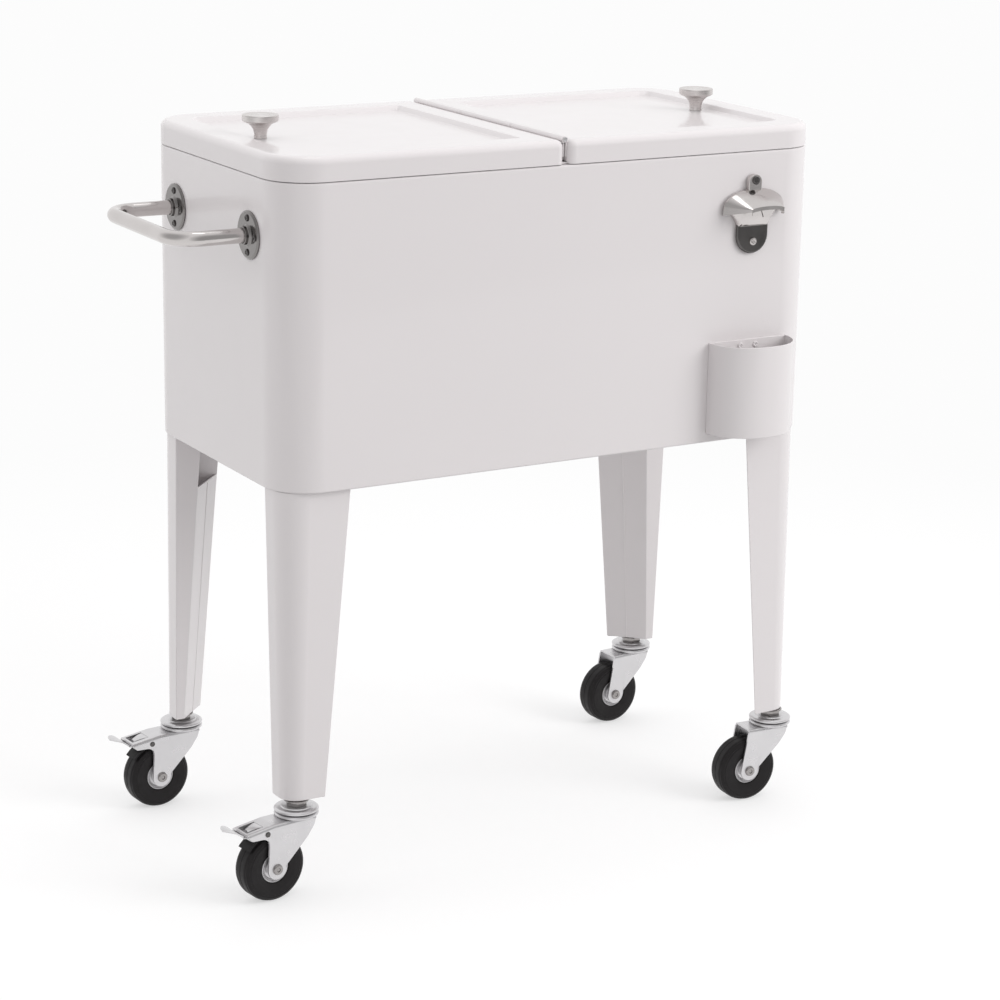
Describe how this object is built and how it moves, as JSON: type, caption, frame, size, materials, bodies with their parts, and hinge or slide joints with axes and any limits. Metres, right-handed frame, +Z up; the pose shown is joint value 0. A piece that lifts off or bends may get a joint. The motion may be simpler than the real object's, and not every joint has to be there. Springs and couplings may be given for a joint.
{
  "type": "rolling patio cooler",
  "caption": "Insulated sheet steel tub on tapered legs with swivel casters, split hinged lids with round knobs, a push handle, a bottle opener and a cap catcher.",
  "frame": {"origin": "on the floor, under the middle of the whole object's bounding box", "axes": "+Z up, +X along the tub away from the handle, -Y out of the face with the opener"},
  "size_m": [0.742, 0.387, 0.8022],
  "materials": {
    "body_white": "satin",
    "liner_white": "satin",
    "foam": "matte",
    "seal": "matte",
    "brushed": "satin",
    "polished": "polished",
    "zinc": "gloss",
    "tyre": "satin",
    "brake_rubber": "satin",
    "drain_plastic": "matte"
  },
  "bodies": {
    "tub": {"tub_shell": "body_white", "base_pan": "body_white", "foam_insulation": "foam", "inner_liner": "liner_white", "drain_spout": "drain_plastic", "centre_rail": "body_white", "hinge_pin": "brushed", "handle_bar": "polished", "bottle_opener": "polished", "cap_catcher": "body_white", "handle_flange_front": "polished", "handle_flange_rear": "polished", "leg_front_left": "body_white", "caster_stem_front_left": "zinc", "leg_rear_left": "body_white", "caster_stem_rear_left": "zinc", "leg_front_right": "body_white", "caster_stem_front_right": "zinc", "leg_rear_right": "body_white", "caster_stem_rear_right": "zinc"},
    "lid_left": {"lid_left_skin": "body_white", "lid_left_tray": "liner_white", "lid_left_foam": "foam", "lid_left_seal": "seal", "lid_left_leaf": "body_white", "lid_left_knob": "brushed"},
    "lid_right": {"lid_right_skin": "body_white", "lid_right_tray": "liner_white", "lid_right_foam": "foam", "lid_right_seal": "seal", "lid_right_leaf": "body_white", "lid_right_knob": "brushed"},
    "drain_cap": {"drain_cap": "drain_plastic"},
    "fork_front_left": {"caster_fork_front_left": "zinc", "caster_axle_front_left": "zinc", "brake_pin_front_left": "zinc"},
    "wheel_front_left": {"caster_hub_front_left": "zinc", "caster_tyre_front_left": "tyre"},
    "brake_front_left": {"brake_pedal_front_left": "zinc", "brake_shoe_front_left": "brake_rubber"},
    "fork_rear_left": {"caster_fork_rear_left": "zinc", "caster_axle_rear_left": "zinc", "brake_pin_rear_left": "zinc"},
    "wheel_rear_left": {"caster_hub_rear_left": "zinc", "caster_tyre_rear_left": "tyre"},
    "brake_rear_left": {"brake_pedal_rear_left": "zinc", "brake_shoe_rear_left": "brake_rubber"},
    "fork_front_right": {"caster_fork_front_right": "zinc", "caster_axle_front_right": "zinc"},
    "wheel_front_right": {"caster_hub_front_right": "zinc", "caster_tyre_front_right": "tyre"},
    "fork_rear_right": {"caster_fork_rear_right": "zinc", "caster_axle_rear_right": "zinc"},
    "wheel_rear_right": {"caster_hub_rear_right": "zinc", "caster_tyre_rear_right": "tyre"}
  },
  "joints": [
    {"name": "lid_left_hinge", "type": "hinge", "parent": "tub", "child": "lid_left", "pos_m": [0.04352, 0.02079, 0.7822], "axis": [0, 1, 0], "range_deg": [0, 165]},
    {"name": "lid_right_hinge", "type": "hinge", "parent": "tub", "child": "lid_right", "pos_m": [0.04352, 0.02079, 0.7822], "axis": [0, 1, 0], "range_deg": [-165, 0]},
    {"name": "drain_cap_pull", "type": "slide", "parent": "tub", "child": "drain_cap", "axis": [0, 0, -1], "range_m": [0, 0.03]},
    {"name": "swivel_front_left", "type": "hinge", "parent": "tub", "child": "fork_front_left", "pos_m": [-0.26028, -0.12811, 0.092], "axis": [0, 0, 1], "continuous": true},
    {"name": "spin_front_left", "type": "hinge", "parent": "fork_front_left", "child": "wheel_front_left", "pos_m": [-0.29369, -0.13251, 0.0368], "axis": [0.1305, -0.9914, 0], "continuous": true},
    {"name": "pedal_front_left", "type": "hinge", "parent": "fork_front_left", "child": "brake_front_left", "pos_m": [-0.30539, -0.13405, 0.0787], "axis": [0.1305, -0.9914, 0], "range_deg": [0, 3.5]},
    {"name": "swivel_rear_left", "type": "hinge", "parent": "tub", "child": "fork_rear_left", "pos_m": [-0.26028, 0.16969, 0.092], "axis": [0, 0, 1], "continuous": true},
    {"name": "spin_rear_left", "type": "hinge", "parent": "fork_rear_left", "child": "wheel_rear_left", "pos_m": [-0.29385, 0.16675, 0.0368], "axis": [0.0872, -0.9962, 0], "continuous": true},
    {"name": "pedal_rear_left", "type": "hinge", "parent": "fork_rear_left", "child": "brake_rear_left", "pos_m": [-0.30561, 0.16573, 0.0787], "axis": [0.0872, -0.9962, 0], "range_deg": [0, 3.5]},
    {"name": "swivel_front_right", "type": "hinge", "parent": "tub", "child": "fork_front_right", "pos_m": [0.34732, -0.12811, 0.092], "axis": [0, 0, 1], "continuous": true},
    {"name": "spin_front_right", "type": "hinge", "parent": "fork_front_right", "child": "wheel_front_right", "pos_m": [0.31368, -0.12611, 0.0368], "axis": [-0.0593, -0.9982, 0], "continuous": true},
    {"name": "swivel_rear_right", "type": "hinge", "parent": "tub", "child": "fork_rear_right", "pos_m": [0.34732, 0.16969, 0.092], "axis": [0, 0, 1], "continuous": true},
    {"name": "spin_rear_right", "type": "hinge", "parent": "fork_rear_right", "child": "wheel_rear_right", "pos_m": [0.31374, 0.16687, 0.0368], "axis": [0.0837, -0.9965, 0], "continuous": true}
  ]
}
